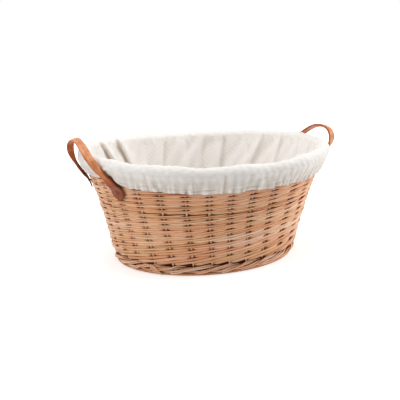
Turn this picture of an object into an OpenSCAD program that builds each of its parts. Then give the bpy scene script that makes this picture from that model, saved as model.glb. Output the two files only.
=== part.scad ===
// Oval willow laundry basket with a fitted cloth liner and two leather strap handles.
// Millimetres, +Z up. The origin is the middle of the oval footprint, on the floor.
// +X runs along the basket's length, through the middle of one handle.

/* [Wall] */
// Length of the rim, along its centre line
rim_length = 580; // [480:5:680]
// Width of the rim, along its centre line
rim_width = 444; // [380:4:520]
// Length of the wall at the floor, along its centre line
base_length = 441; // [380:3:480]
// Width of the wall at the floor, along its centre line
base_width = 331; // [280:3:370]
// Height of the rim's centre line at the middle of the long sides
rim_height = 245; // [230:1:300]
// How much higher the rim's centre line is at the two ends
rim_rise = 10; // [0:1:16]
// Straight share of the wall's flare; the rest grows towards the rim
flare = 0.58; // [0.4:0.02:1]

/* [Weave] */
// Groups of three stakes round the wall; one stake more closes the three-rod weave
stake_groups = 9; // [7:1:11]
// Thickness of a side stake
stake_d = 6; // [5:0.5:7]
// Thickness of a weaver, measured through the wall
rod_t = 4.6; // [3.6:0.2:5]
// Courses of coarse weave above the bottom wale
lower_courses = 7; // [4:1:8]
// Height of the bottom wale
wale_h = 19; // [16:1:24]
// Height of the lowest coarse course
lower_first = 18; // [12:0.5:20]
// Height of the highest coarse course; the ones between step down evenly
lower_last = 10.5; // [9:0.5:16]
// Courses of finer weave below the rim
upper_courses = 8; // [4:1:9]
// Working clearance between one rod and the next
gap = 0.3; // [0.2:0.05:0.5]

/* [Foot and rim] */
// Height of the flat-bottomed foot hoop
hoop_h = 8.4; // [6:0.2:11]
// Width of the foot hoop
hoop_w = 8; // [6:0.5:10]
// Thickness of one strand of the foot's four-rod twist
foot_strand = 5.2; // [4:0.2:6]
// Thickness of one strand of the rim's rolled border
rim_strand = 9; // [7:0.25:9]

/* [Base] */
// Bare height of stake between the foot and the bottom wale
wale_rise = 6; // [3:0.5:9]
// Thickness of a base stick
stick_d = 5; // [4:0.5:6]
// Sticks that run across the base
cross_sticks = 11; // [7:2:13]
// Sticks that run along the base
long_sticks = 5; // [3:2:7]
// Width of one turn of the base's flat weave
base_turn = 12; // [10:1:16]
// Thickness of the base's flat weave
base_weave_t = 3; // [2:0.5:4]

/* [Liner] */
// Thickness of the liner's cloth
cloth_t = 1.5; // [1:0.1:2]
// Clearance between the liner and the weave
liner_gap = 1.6; // [1.5:0.1:2.2]
// How far the deepest folds inside the liner stand in from the wall
fold_depth = 8; // [0:0.5:12]
// Inner radius of the liner's roll over the rim
roll_r = 13.2; // [13:0.1:15]
// Height of the overhang's lower edge
hem_z = 204; // [196:1:212]
// How far the overhang bellies out, half way down
skirt_belly = 2; // [0:0.5:4]
// Height of the elastic above the overhang's lower edge
elastic_rise = 1; // [0:0.5:3]
// Width of the elastic in the hem
elastic_w = 6; // [4:0.5:8]
// Thickness of the elastic
elastic_t = 0.8; // [0.5:0.1:1]

/* [Handles] */
// Height of the top of the arch, at the strap's centre line
arch_top = 298; // [290:1:320]
// How far the top of the left arch stands out past the rim's centre line
left_out = 23; // [10:0.5:36]
// How far the top of the right arch stands out past the rim's centre line
right_out = 24; // [10:0.5:36]
// Half the distance between a handle's two tabs
arch_half = 61.5; // [50:0.5:90]
// How far the left handle's tabs sit from the middle, towards the front
left_shift = 45.5; // [-50:0.5:50]
// How far the right handle's tabs sit from the middle, towards the front
right_shift = -45.5; // [-50:0.5:50]
// Width of the strap
strap_w = 12.5; // [10:0.5:14]
// Thickness of the strap
strap_t = 4.5; // [3:0.25:5]
// Width of a tab
tab_w = 26; // [18:1:28]
// Thickness of a tab
tab_t = 3; // [2:0.25:3.5]
// Height of the strap's foot, where it leaves the tab
foot_z = 208; // [206:1:214]
// Clearance between the middle of the strap's foot and the overhang
strap_gap = 3.4; // [1:0.1:5]
// Height of the rivet
rivet_z = 190; // [186:1:192]
// Radius of the rivet's shank
rivet_r = 1.5; // [1:0.1:2]
// Radius of the rivet's head
head_r = 4; // [3:0.25:5]
// Thickness of the rivet's head
head_t = 1.2; // [0.8:0.1:2]
// Radius of the washer inside the wall
washer_r = 6; // [5:0.25:8]
// Thickness of the washer
washer_t = 0.8; // [0.5:0.1:1.5]

/* [Hidden] */
willow = "burlywood";
dark_willow = "tan";
cloth = "ivory";
leather = "sandybrown";
stakes = 3 * stake_groups + 1;

// How far a weaver's middle lies from the wall's centre line when it passes a stake
seat = stake_d / 2 + gap + rod_t / 2;
// The wall's own faces, to either side of its centre line
face = seat + rod_t / 2;
// Share of a stake space over which a weaver hugs the back of its stake
hug = 0.24;
foot_r = foot_strand + gap;
foot_top = hoop_h + gap + 2 * foot_r + foot_strand;
wale_z = foot_top + wale_rise;
lower_z = wale_z + wale_h;
function lower_at(i) =
    lower_z + i * lower_first + (lower_last - lower_first) * i * (i - 1) / 2 / (lower_courses - 1);
upper_z = lower_at(lower_courses);
rim_r = rim_strand / sqrt(2) + gap;
weave_top = rim_height - rim_r - rim_strand / 2 - gap;
upper_pitch = (weave_top - gap - upper_z) / upper_courses;
base_z = foot_top + gap;
cross_z = base_z + base_weave_t + gap;
long_z = cross_z + stick_d + gap;
base_top_z = long_z + stick_d + gap;
floor_z = base_top_z + base_weave_t + gap;
liner_off = face + liner_gap;

// ---- The oval wall -------------------------------------------------------------------

function share(z) = z / rim_height;
function grown(z) = flare * share(z) + (1 - flare) * pow(share(z), 2);
function half_length(z) = (base_length + (rim_length - base_length) * grown(z)) / 2;
function half_width(z) = (base_width + (rim_width - base_width) * grown(z)) / 2;
function outward(a, z) =
    let (n = [cos(a) / half_length(z), sin(a) / half_width(z), 0])
        n / norm(n);
// The ends of the basket stand a little higher than its sides
function risen(a, z) = z + rim_rise * pow(cos(a) * share(z), 2);
function wall(a, z, off = 0) =
    [half_length(z) * cos(a), half_width(z) * sin(a), risen(a, z)] + off * outward(a, z);
// The same oval with no rise, for the flat pieces of the foot and base
function oval(a, z, off = 0) =
    [half_length(z) * cos(a), half_width(z) * sin(a), 0] + off * outward(a, z);

// Stakes stand at equal steps round the oval at half height
half_z = rim_height / 2;
function arc_step(a) = norm([half_length(half_z) * sin(a), half_width(half_z) * cos(a)]);
arc_table = [for (a = 0, s = 0; a <= 360; s = s + arc_step(a + 0.5), a = a + 1) [s, a]];
arc_total = arc_table[360][0];
function turn(k) = (k + stakes) / stakes - floor((k + stakes) / stakes);
function angle(k) = lookup(turn(k + 0.5) * arc_total, arc_table);

// ---- Sweeping a section along a path ---------------------------------------------------

function tube_faces(first, rings, n, closed) = concat(
    [for (i = [0 : rings - (closed ? 1 : 2)], s = [0 : n - 1])
        let (p = first + i * n, q = first + ((i + 1) % rings) * n, t = (s + 1) % n)
            each [[p + s, q + s, q + t], [p + s, q + t, p + t]]],
    closed ? [] : [
        [for (s = [n - 1 : -1 : 0]) first + n - 1 - s],
        [for (s = [0 : n - 1]) first + rings * n - 1 - s]]
);
function flat(list) = [for (item = list) each item];
function rings_before(tubes, i) = i == 0 ? 0 : len(tubes[i - 1]) + rings_before(tubes, i - 1);

// Several tubes at once; a tube is a list of rings, and a ring is a list of n points
module sweep(tubes, closed = true) {
    n = len(tubes[0][0]);
    polyhedron(
        points = flat([for (tube = tubes) flat(tube)]),
        faces = flat([for (i = [0 : len(tubes) - 1])
            tube_faces(rings_before(tubes, i) * n, len(tubes[i]), n, closed)])
    );
}

// A rod's section: a wedge with its ridge outwards and its flat side along the stakes
function rod_ring(a, z, off, t, h) =
    let (c = wall(a, z, off), n = outward(a, z) * t / 2,
        up = (wall(a, z + h / 2) - wall(a, z - h / 2)) / 2)
        [c + n, c - n - up, c - n + up];

// ---- Woven wall ------------------------------------------------------------------------

// One course of three-rod wale. Each rod comes out from behind a stake at the bottom of the
// course, climbs across the next two stakes and goes in behind the third. With one stake
// more than a multiple of three, the three rods run on into each other and close.
function wale(z, pitch) =
    let (step = pitch / 4, h = pitch / 2 - gap)
        [for (j = [0 : 3 * stakes - 1]) each
            j % 3 == 0 ? [
                rod_ring(angle(j - hug), z + 3 * step, -seat, rod_t, h),
                rod_ring(angle(j + hug), z + step, -seat, rod_t, h)]
            : [rod_ring(angle(j), z + (j % 3 == 1 ? step : 3 * step), seat, rod_t, h)]];

// Courses between each of these heights and the next
module courses(heights) {
    sweep([for (i = [1 : len(heights) - 1]) wale(heights[i - 1], heights[i] - heights[i - 1])]);
}

module bottom_wale() {
    color(dark_willow) courses([wale_z, lower_z]);
}

module lower_weave() {
    color(willow) courses([for (i = [0 : lower_courses]) lower_at(i)]);
}

module upper_weave() {
    color(willow) courses([for (i = [0 : upper_courses]) upper_z + i * upper_pitch]);
}

// A stake's section: a pentagon. A stake is straight from row to row and the wall is not, so
// it stands a little inside the wall's centre line.
function stake_ring(a, z) =
    let (c = wall(a, z, -gap), n = outward(a, z), t = [-n[1], n[0], 0])
        [for (s = [0 : 4]) c + stake_d / 2 * (cos(-72 * s) * n + sin(-72 * s) * t)];

stake_rows = [for (s = [1, 0.67, 0.33, 0]) s * weave_top + (1 - s) * (foot_top + gap)];
module side_stakes() {
    color(dark_willow)
        sweep([for (k = [0 : stakes - 1])
            [for (z = stake_rows) stake_ring(angle(k), z)]],
            closed = false);
}

// ---- Twisted foot and rim --------------------------------------------------------------

// A point that stands r out from the wall's centre line, p degrees up from level
function around(a, z, r, p) = wall(a, z) + r * (cos(p) * outward(a, z) + [0, 0, sin(p)]);

// One of the strands laid round each other; four stakes make one turn of the twist
function strand(z, r, d, n, start) =
    let (turns = round(stakes / 4))
        [for (k = [0 : stakes - 1])
            let (a = angle(k), c = around(a, z, r, start + 360 * turns * k / stakes) - wall(a, z))
                [for (s = [0 : n - 1]) c + around(a, z, d / 2, -360 * s / n)]];

module foot_twist() {
    z = hoop_h + gap + foot_r + foot_strand / 2;
    color(willow) sweep([for (p = [0 : 90 : 270]) strand(z, foot_r, foot_strand, 4, p)]);
}

module rim_border() {
    color(willow) sweep([for (p = [90, 270]) strand(rim_height, rim_r, rim_strand, 6, p)]);
}

// The hoop that the basket stands on, flat underneath
module foot_hoop() {
    side = hoop_w / 2;
    bevel = hoop_w / 4;
    section = [[side, hoop_h / 2], [side - bevel, 0], [bevel - side, 0], [-side, hoop_h / 2],
        [bevel - side, hoop_h], [side - bevel, hoop_h]];
    color(dark_willow)
        sweep([[for (k = [0 : stakes - 1])
            [for (p = section) oval(angle(k), 0, p[0]) + [0, 0, p[1]]]]]);
}

// ---- Base ------------------------------------------------------------------------------

base_edge = -face - gap;
base_l = half_length(cross_z) + base_edge;
base_w = half_width(cross_z) + base_edge;

module base_cross_sticks() {
    step = 2 * half_length(cross_z) / (cross_sticks + 1);
    color(dark_willow)
        for (i = [1 : cross_sticks]) {
            x = i * step - half_length(cross_z);
            reach = base_w * sqrt(1 - pow(x / base_l, 2)) - stick_d / 2;
            translate([x, -reach, cross_z + stick_d / 2])
                rotate([-90, 0, 0])
                    cylinder(h = 2 * reach, d = stick_d, $fn = 8);
        }
}

module base_long_sticks() {
    step = 2 * half_width(cross_z) / (long_sticks + 1);
    color(dark_willow)
        for (i = [1 : long_sticks]) {
            y = i * step - half_width(cross_z);
            reach = base_l * sqrt(1 - pow(y / base_w, 2)) - stick_d / 2;
            translate([-reach, y, long_z + stick_d / 2])
                rotate([0, 90, 0])
                    cylinder(h = 2 * reach, d = stick_d, $fn = 8);
        }
}

// Flat weave that spirals in from the wall to the middle, on both sides of the sticks. Its
// first turn tapers in along the wall, so the weave ends on the oval of the wall itself.
base_turns = floor((half_width(base_z) + base_edge) / base_turn);
module base_spiral() {
    last = base_turns * stakes;
    function edge(k, inset) =
        let (d = base_edge - base_turn * inset / stakes, a = angle(k))
            [(half_length(base_z) + d) * cos(a), (half_width(base_z) + d) * sin(a)];
    linear_extrude(base_weave_t)
        polygon(concat(
            [for (k = [2 : last]) edge(k, max(0, k - stakes))],
            [for (k = [last : -1 : 2]) edge(k, k - stakes * gap / base_turn)]));
}

module base_weave() {
    color(willow) {
        translate([0, 0, base_z]) base_spiral();
        translate([0, 0, base_top_z]) mirror([0, 1, 0]) base_spiral();
    }
}

// ---- Liner -----------------------------------------------------------------------------

roll_steps = 4;
round_wall = [for (k = [0 : stakes - 1]) angle(k)];
function cloth_ring(z, off) = [for (a = round_wall) wall(a, z, off)];
function roll_ring(r, p) = [for (a = round_wall) around(a, rim_height, r, p)];

// The bag's cloth lies to the wall in line with each stake, and folds in between two stakes.
// The folds differ in depth, run out at the floor and pull flat over the top of the roll.
bag_columns = [for (k = [0 : 2 * stakes - 1]) k / 2];
bag_rows = [0, 0.15, 0.5, 0.85];
fold_turn = 137.5;
function fold(k, share) =
    k == floor(k) ? 0 : fold_depth * min(1, 4 * share) * (0.6 + 0.4 * cos(fold_turn * (k + 0.5)));
function bag_wall_ring(z, share, off) =
    [for (k = bag_columns) wall(angle(k), z, off - fold(k, share))];
function bag_roll_ring(r, p) =
    [for (k = bag_columns) around(angle(k), rim_height, r + max(0, -cos(p)) * fold(k, 1), p)];

// One face of the bag, from its floor up the wall and over the rim
function bag_face(z, off, r) = concat(
    [for (s = bag_rows) bag_wall_ring(s * rim_height + (1 - s) * z, s, off)],
    [for (i = [0 : roll_steps]) bag_roll_ring(r, 180 - 180 / roll_steps * i)]);

module liner_bag() {
    outer = bag_face(floor_z, -liner_off, roll_r);
    inner = bag_face(floor_z + cloth_t, -liner_off - cloth_t, roll_r + cloth_t);
    color(cloth)
        sweep([concat(outer, [for (i = [len(inner) - 1 : -1 : 0]) inner[i]])], closed = false);
}

// The overhang that hugs the outside of the wall below the roll
skirt_in = face + elastic_t + 2 * gap;
function skirt_top(r) = [for (p = roll_ring(r, 0)) p - [0, 0, gap]];
module liner_skirt() {
    middle = (rim_height + hem_z) / 2;
    belly = skirt_in + skirt_belly;
    color(cloth)
        sweep([[
            skirt_top(roll_r),
            cloth_ring(middle, belly),
            cloth_ring(hem_z, skirt_in),
            cloth_ring(hem_z, skirt_in + cloth_t),
            cloth_ring(middle, belly + cloth_t),
            skirt_top(roll_r + cloth_t)]],
            closed = true);
}

module hem_elastic() {
    low = hem_z + elastic_rise;
    inner = face + gap;
    color("white")
        sweep([[
            cloth_ring(low, inner),
            cloth_ring(low, inner + elastic_t),
            cloth_ring(low + elastic_w, inner + elastic_t),
            cloth_ring(low + elastic_w, inner)]],
            closed = true);
}

// ---- Handles ---------------------------------------------------------------------------

strap_rings = 22;
// How far the arch bellies out between its feet and its top
arch_bulge = 13;
// Share of the tabs' shift that the top of the arch keeps
top_shift = 0.33;
// Share of the arch's height over which the strap still lies flat to the wall
twist_from = 0.4;
// Share of the strap's width that is flat; its edges slope off beyond
strap_flat = 0.7;
rivet_fit = 0.05;
tab_off = face + gap + tab_t / 2;
foot_off = skirt_in + cloth_t + strap_gap + strap_t / 2;
// The angle round the oval at which the wall passes a given y, on the right-hand end
function angle_at(y, z) = asin(y / half_width(z));
function end_point(side, y, z, off) =
    let (p = wall(angle_at(y, z), z, off))
        [side * p[0], p[1], p[2]];

// A handle is [side, y of the front tab, y of the back tab, reach past the rim]
left = [-1, -left_shift - arch_half, arch_half - left_shift, left_out];
right = [1, -right_shift - arch_half, arch_half - right_shift, right_out];
function top_y(handle) = top_shift * (handle[1] + handle[2]) / 2;
function tab_y(handle, back) = handle[back ? 2 : 1];
function foot(handle, back) =
    end_point(handle[0], tab_y(handle, back), foot_z, foot_off);
function apex(handle) = [handle[0] * (rim_length / 2 + handle[3]), top_y(handle), arch_top];

// Half an ellipse from the front foot (t = 0) over the top to the back foot (t = 180)
function arch_point(handle, t) =
    let (f = foot(handle, false),
        m = (f + foot(handle, true)) / 2,
        belly = arch_bulge * 4 * sin(t) * (1 - sin(t)))
        m + (f - m) * cos(t) + (apex(handle) - m) * sin(t) + [handle[0] * belly, 0, 0];

// The strap lies flat to the wall at its feet and turns edge-out towards the top. The
// ring is moved on along the strap, and thinned, to round off the feet.
function strap_ring(handle, t, on = 0, thin = 1) =
    let (ahead = arch_point(handle, min(t + 0.5, 180)) - arch_point(handle, max(t - 0.5, 0)),
        along = ahead / norm(ahead),
        plane = cross(foot(handle, true) - foot(handle, false), apex(handle) - foot(handle, false)),
        face_out = plane / norm(plane),
        across = cross(along, face_out),
        turned = max(0, (sin(t) - twist_from) / (1 - twist_from)),
        twist = 90 * (1 - turned * turned * (3 - 2 * turned)),
        wide = strap_w / 2 * (cos(twist) * face_out + sin(twist) * across),
        thick = thin * strap_t / 2 * (cos(twist) * across - sin(twist) * face_out),
        c = arch_point(handle, t) + on * along)
        [c + wide, c + strap_flat * wide + thick, c - strap_flat * wide + thick,
            c - wide, c - strap_flat * wide - thick, c + strap_flat * wide - thick];

// Each foot ends in a half round about the line that the strap bends on
round_end = [[strap_t / 2, 0.25], [strap_t / 2 * 0.7, 0.7]];
module strap(handle) {
    color(leather)
        sweep([concat(
            [for (e = round_end) strap_ring(handle, 0, -e[0], e[1])],
            [for (i = [0 : strap_rings - 1]) strap_ring(handle, 180 * i / (strap_rings - 1))],
            [for (i = [1 : -1 : 0]) strap_ring(handle, 180, round_end[i][0], round_end[i][1])])],
            closed = false);
}

// The tab's own frame, flat on the wall: its rivet at the origin, +Y up, +Z away from it
function tab_frame(handle, back) =
    let (y = tab_y(handle, back), side = handle[0], a = angle_at(y, rivet_z),
        n = outward(a, rivet_z),
        low = end_point(side, y, rivet_z, tab_off),
        rise = wall(a, rivet_z + tab_w / 2) - wall(a, rivet_z - tab_w / 2),
        up = [side * rise[0], rise[1], rise[2]] / norm(rise),
        x = [-n[1], side * n[0], 0],
        z = cross(x, up) / norm(cross(x, up)))
        [x, cross(z, x), z, low];
// A point of the basket, such as the strap's foot, in that frame
function in_tab(handle, back, p) =
    let (f = tab_frame(handle, back), d = p - f[3])
        [d * f[0], d * f[1], d * f[2]];

module on_tab(handle, back) {
    f = tab_frame(handle, back);
    multmatrix([
        [f[0][0], f[1][0], f[2][0], f[3][0]],
        [f[0][1], f[1][1], f[2][1], f[3][1]],
        [f[0][2], f[1][2], f[2][2], f[3][2]],
        [0, 0, 0, 1]])
        children();
}

// A round plate that lies on the wall, and a neck that bends off it to the strap's foot
module tab(handle, back) {
    neck_y = tab_w / 5;
    neck_w = tab_w / 2 * 0.9;
    to_foot = in_tab(handle, back, foot(handle, back)) - [0, neck_y, 0];
    // The strap's foot stands skew to the neck, so one of its corners comes down further
    end = strap_ring(handle, back ? 180 : 0);
    corner = in_tab(handle, back, end[0]) - in_tab(handle, back, end[3]);
    drop = abs(corner * to_foot) / norm(to_foot) / 2;
    reach = norm(to_foot) - drop - strap_t / 2 - gap;
    color(leather)
        on_tab(handle, back)
            difference() {
                union() {
                    translate([0, 0, -tab_t / 2])
                        cylinder(h = tab_t, d = tab_w, $fn = 48);
                    translate([0, neck_y, 0])
                        rotate([atan2(to_foot[2], to_foot[1]), 0, 0])
                            rotate([0, 0, -asin(to_foot[0] / norm(to_foot))])
                                translate([0, 0, -tab_t / 2])
                                    linear_extrude(tab_t)
                                        polygon([[-neck_w, 0], [neck_w, 0],
                                            [strap_w / 2, reach], [-strap_w / 2, reach]]);
                }
                cylinder(h = 2 * tab_t, r = rivet_r + rivet_fit, center = true, $fn = 48);
            }
}

// Depth of the wall's inner face below the tab, where the washer seats
function grip(handle, back) =
    -in_tab(handle, back, end_point(handle[0], tab_y(handle, back), rivet_z, -face - 2 * gap))[2];

module rivet(handle, back) {
    inside = grip(handle, back) + washer_t;
    on_tab(handle, back) {
        translate([0, 0, tab_t / 2]) cylinder(h = head_t, r = head_r, $fn = 32);
        translate([0, 0, -inside]) cylinder(h = inside + tab_t / 2 + head_t / 2, r = rivet_r, $fn = 32);
    }
}

module washer(handle, back) {
    on_tab(handle, back)
        translate([0, 0, -grip(handle, back) - washer_t / 2])
            difference() {
                cylinder(h = washer_t, r = washer_r, center = true, $fn = 32);
                cylinder(h = 2 * washer_t, r = rivet_r + rivet_fit, center = true, $fn = 32);
            }
}

module left_handle_strap() { strap(left); }
module right_handle_strap() { strap(right); }
module left_front_tab() { tab(left, false); }
module left_back_tab() { tab(left, true); }
module right_front_tab() { tab(right, false); }
module right_back_tab() { tab(right, true); }

module handle_rivets() {
    color("saddlebrown")
        for (handle = [left, right], back = [false, true])
            rivet(handle, back);
}

module rivet_washers() {
    color("gray")
        for (handle = [left, right], back = [false, true])
            washer(handle, back);
}

foot_hoop();
foot_twist();
base_cross_sticks();
base_long_sticks();
base_weave();
side_stakes();
bottom_wale();
lower_weave();
upper_weave();
rim_border();
liner_bag();
liner_skirt();
hem_elastic();
left_handle_strap();
left_front_tab();
left_back_tab();
right_handle_strap();
right_front_tab();
right_back_tab();
handle_rivets();
rivet_washers();
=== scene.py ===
import math

import bpy
import numpy as np
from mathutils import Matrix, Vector


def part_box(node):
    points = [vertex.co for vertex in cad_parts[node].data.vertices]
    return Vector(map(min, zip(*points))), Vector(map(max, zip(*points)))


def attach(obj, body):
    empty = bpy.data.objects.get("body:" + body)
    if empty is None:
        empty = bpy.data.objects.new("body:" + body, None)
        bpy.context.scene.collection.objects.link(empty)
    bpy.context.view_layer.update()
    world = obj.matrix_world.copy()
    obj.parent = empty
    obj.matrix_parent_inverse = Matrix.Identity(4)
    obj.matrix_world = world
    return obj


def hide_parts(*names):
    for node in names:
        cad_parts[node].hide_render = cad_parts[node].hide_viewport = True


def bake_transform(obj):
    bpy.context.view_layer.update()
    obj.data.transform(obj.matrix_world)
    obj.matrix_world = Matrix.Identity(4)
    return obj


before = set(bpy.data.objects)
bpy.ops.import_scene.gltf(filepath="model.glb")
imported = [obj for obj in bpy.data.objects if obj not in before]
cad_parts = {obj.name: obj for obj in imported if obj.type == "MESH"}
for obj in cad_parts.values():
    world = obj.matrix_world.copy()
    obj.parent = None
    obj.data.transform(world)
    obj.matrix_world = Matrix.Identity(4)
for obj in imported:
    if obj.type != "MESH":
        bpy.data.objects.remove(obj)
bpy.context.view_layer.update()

# Metres and radians, except for names that say degrees. Angles go round the basket from its right
# end (+x) over the back (+y); the front, which faces the camera, is at 270 degrees.

# ---- The oval wall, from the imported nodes' boxes -----

hoop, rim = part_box("foot_hoop"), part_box("rim_border")
# Half lengths of the wall's middle line along x and y, on the floor and at the rim
BASE = (hoop[1][0] - 0.0046, hoop[1][1] - 0.0032)
RIM = (rim[1][0] - 0.0085, rim[1][1] - 0.0100)
# How much higher the rim stands at the two ends than at the sides
RISE = 0.010
RIM_Z = (rim[0][2] + rim[1][2]) / 2 - RISE / 2
# Share of the flare that is straight; the rest curves outwards
FLARE = 0.50
# The foot is turned a little against the rim, and the turn runs out at this height
TWIST, TWIST_END = math.radians(3.0), 0.17
STAKES = 28
FLOOR_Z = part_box("liner_bag")[0][2] + 0.002
FOOT_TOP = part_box("foot_twist")[1][2]
# The weave reaches a little way up behind the rim border
WEAVE_TOP = rim[0][2] + 0.0012

TURN = 2 * np.pi
UP = np.array([0, 0, 1.0])


def axes(z):
    """Half lengths of the oval along x and y at height z."""
    s = np.asarray(z, float) / RIM_Z
    g = FLARE * s + (1 - FLARE) * s * s
    return BASE[0] + (RIM[0] - BASE[0]) * g, BASE[1] + (RIM[1] - BASE[1]) * g


def smooth(x):
    """Eases from 0 to 1 while x goes from 0 to 1."""
    x = np.clip(x, 0, 1)
    return x * x * (3 - 2 * x)


def bell(x, width):
    """1 where x is 0, falling off on both sides."""
    return np.exp(-(x / width) ** 2)


def unit(v):
    """Vectors scaled to length 1."""
    return v / np.linalg.norm(v, axis=-1, keepdims=True)


def turned(v, z):
    """Turns points or directions about the upright axis by the wall's twist at height z."""
    th = TWIST * (1 - smooth(np.asarray(z, float) / TWIST_END))
    c, s = np.cos(th), np.sin(th)
    return np.stack([c * v[..., 0] - s * v[..., 1], s * v[..., 0] + c * v[..., 1], v[..., 2]], -1)


def wall(a, z, off=0.0):
    """Points at angle a and height z, off metres out from the wall's middle, and the wall's
    outward direction there."""
    a, z, off = np.broadcast_arrays(np.asarray(a, float), np.asarray(z, float), np.asarray(off, float))
    la, lb = axes(z)
    n = unit(np.stack([np.cos(a) / la, np.sin(a) / lb, np.zeros_like(a)], -1))
    p = np.stack([la * np.cos(a), lb * np.sin(a), z + RISE * (np.cos(a) * z / RIM_Z) ** 2], -1)
    p, n = turned(p, z), turned(n, z)
    return p + off[..., None] * n, n


def arc_table():
    """Angles round the oval at half height, and the share of its length that lies before each."""
    a = np.radians(np.arange(0, 361, 1.0))
    half_step = math.radians(0.5)
    la, lb = axes(RIM_Z / 2)
    step = np.hypot(la * np.sin(a + half_step), lb * np.cos(a + half_step))[:-1]
    share = np.concatenate([[0], np.cumsum(step)])
    return a, share / share[-1]


ARC_ANGLE, ARC_SHARE = arc_table()

# The stakes aren't quite evenly spaced: round the front they stand back by up to 0.7 of a space.
# Stake numbers, and by how many spaces the stake there is moved round
SPACING = ([0, 2, 6, 12, 14, 15, 16, 17, 18, 19, 20, 21, 22, 23, 24, 25, 26, 27, 28],
           [-0.12, 0.04, -0.04, 0.10, 0.16, -0.15, -0.40, -0.50, -0.55, -0.52, -0.55, -0.64, -0.70,
            -0.66, -0.50, -0.44, -0.34, -0.20, -0.12])


def even_angle(u):
    """The angle round the oval at step u of STAKES even steps, which may be a fraction."""
    t = (np.asarray(u, float) + 0.5) / STAKES
    whole = np.floor(t)
    return np.interp(t - whole, ARC_SHARE, ARC_ANGLE) + TURN * whole


def stake_angle(u):
    """The angle round the oval at stake number u, which may be a fraction."""
    u = np.asarray(u, float)
    return even_angle(u + np.interp(u % STAKES, *SPACING))


def waves(seed, count, low, high):
    """A gentle random function of angle, about -1 to 1: count waves of low to high whole periods."""
    r = np.random.default_rng(seed)
    k = r.integers(low, high + 1, count)
    ph = r.uniform(0, TURN, count)
    w = r.uniform(0.5, 1, count)
    scale = 0.8 * math.sqrt(count)
    return lambda a: sum(w[i] * np.sin(k[i] * a + ph[i]) for i in range(count)) / scale


def blur(x, width):
    """Smooths a closed run of values."""
    k = np.hanning(width + 2)[1:-1]
    k /= k.sum()
    pad = np.concatenate([x[-width:], x, x[:width]])
    return np.convolve(pad, k, "same")[width:-width]


# ---- Mesh building -----------------------------------

# Points round a rod, and the radius that closes its ends
ROD_SIDES, ROD_TIP = 8, 0.0006
# A rod's grain starts at a random place along the wood, up to this far
GRAIN = 40
# Tone of each kind of rod, from 0 dark to 1 light, and how much it varies from rod to rod
TONES = {"stakes": (0.88, 0.06), "foot": (0.66, 0.18), "tucked": (0.62, 0.1), "rim": (0.5, 0.12),
         "sticks": (0.5, 0.12), "base": (0.5, 0.14)}


def rod_radii(count, radius, last=None, tip=ROD_TIP):
    """count radii along a rod that is closed by a small tip at both ends."""
    rad = np.linspace(radius, radius if last is None else last, count)
    rad[[0, -1]] = tip
    return rad


class Parts:
    """Collects tubes and sheets into one mesh."""

    def __init__(self):
        self.v, self.q, self.uv, self.values, self.n = [], [], [], {}, 0

    def add(self, grid, closed, uv, **values):
        """Adds rows x columns of points. Quads join neighbours; the columns wrap round, and with
        closed the rows do too. A value is one number, one for each row, or a grid of them."""
        ni, nj = grid.shape[:2]
        I, J = np.meshgrid(np.arange(ni if closed else ni - 1), np.arange(nj), indexing="ij")
        I2, J2 = (I + 1) % ni, (J + 1) % nj
        q = np.stack([I * nj + J, I * nj + J2, I2 * nj + J2, I2 * nj + J], -1).reshape(-1, 4)
        self.v.append(grid.reshape(-1, 3))
        self.q.append(q + self.n)
        # past the last row or column, a texture runs on by one more step
        u, w = [np.append(x, x[-1] + (x[-1] - x[-2])) for x in uv]
        corners = [(u[I], w[J]), (u[I], w[J + 1]), (u[I + 1], w[J + 1]), (u[I + 1], w[J])]
        self.uv.append(np.stack([np.stack(c, -1) for c in corners], 2).reshape(-1, 2))
        for key, value in values.items():
            value = np.asarray(value, float)
            value = np.broadcast_to(value[:, None] if value.ndim == 1 else value, (ni, nj))
            self.values.setdefault(key, []).append(value.reshape(-1))
        self.n += ni * nj

    def tube(self, c, n, rn, rb, tint, grain, hue=0.5, closed=True):
        """A rod along c, with radius rn along the direction n and rb across it. tint and hue set its
        tone and cast, and grain where on the wood's texture it starts."""
        t = unit(np.roll(c, -1, 0) - np.roll(c, 1, 0) if closed else np.gradient(c, axis=0))
        b = unit(np.cross(t, n))
        n = np.cross(b, t)
        rn, rb = np.broadcast_to(rn, len(c)), np.broadcast_to(rb, len(c))
        ph = TURN * np.arange(ROD_SIDES) / ROD_SIDES
        grid = (c[:, None] + (rn[:, None] * np.cos(ph))[..., None] * n[:, None]
                + (rb[:, None] * np.sin(ph))[..., None] * b[:, None])
        along = np.concatenate([[0], np.cumsum(np.linalg.norm(np.diff(c, axis=0), axis=1))])
        self.add(grid, closed, (along + grain, ph / TURN), tint=tint, hue=hue)

    def object(self, name, material):
        """Makes the mesh and puts it in the scene."""
        me = bpy.data.meshes.new(name)
        v = np.concatenate(self.v)
        q = np.concatenate(self.q)
        me.vertices.add(len(v))
        me.vertices.foreach_set("co", v.astype(np.float32).ravel())
        me.loops.add(4 * len(q))
        me.loops.foreach_set("vertex_index", q.astype(np.int32).ravel())
        me.polygons.add(len(q))
        me.polygons.foreach_set("loop_start", np.arange(0, 4 * len(q), 4, dtype=np.int32))
        me.polygons.foreach_set("use_smooth", np.ones(len(q), bool))
        me.update(calc_edges=True)
        layer = me.uv_layers.new(name="UVMap")
        layer.data.foreach_set("uv", np.concatenate(self.uv).astype(np.float32).ravel())
        for key, parts in self.values.items():
            at = me.attributes.new(key, "FLOAT", "POINT")
            at.data.foreach_set("value", np.concatenate(parts).astype(np.float32))
        me.materials.append(material)
        o = bpy.data.objects.new(name, me)
        bpy.context.scene.collection.objects.link(o)
        return o


# ---- Materials ---------------------------------------

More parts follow.
